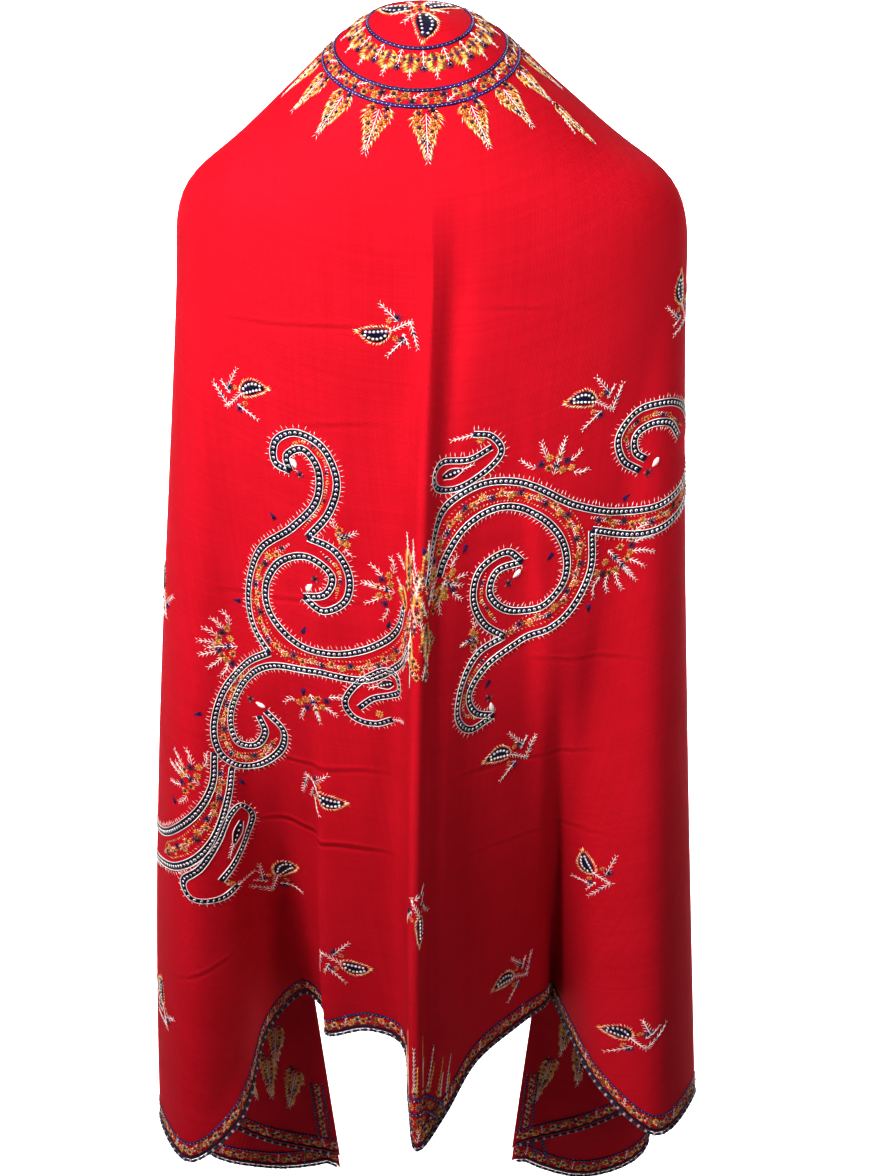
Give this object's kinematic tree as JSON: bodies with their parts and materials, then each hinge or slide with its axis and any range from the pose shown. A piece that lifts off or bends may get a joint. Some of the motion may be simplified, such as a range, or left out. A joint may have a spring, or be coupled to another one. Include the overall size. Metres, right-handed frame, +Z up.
{
  "type": "pashmina shawl",
  "caption": "Long embroidered shawl draped over a neck and shoulders, falling to an uneven hem in deep folds, hollow and open below.",
  "frame": {"origin": "the point on the inside of the cloth that rests on top of the neck", "axes": "+Z up, -Y to the front of the wearer, +X to the viewer's right when seen from the front"},
  "size_m": [0.529, 0.4013, 1.2405],
  "materials": {
    "cloth": "soft fine wool twill, scarlet red, embroidered",
    "edge": "couched indigo cord with white tying stitches"
  },
  "bodies": {
    "root": {"shawl_cloth": "cloth", "front_edge_cord": "edge", "back_edge_cord": "edge"}
  },
  "joints": []
}
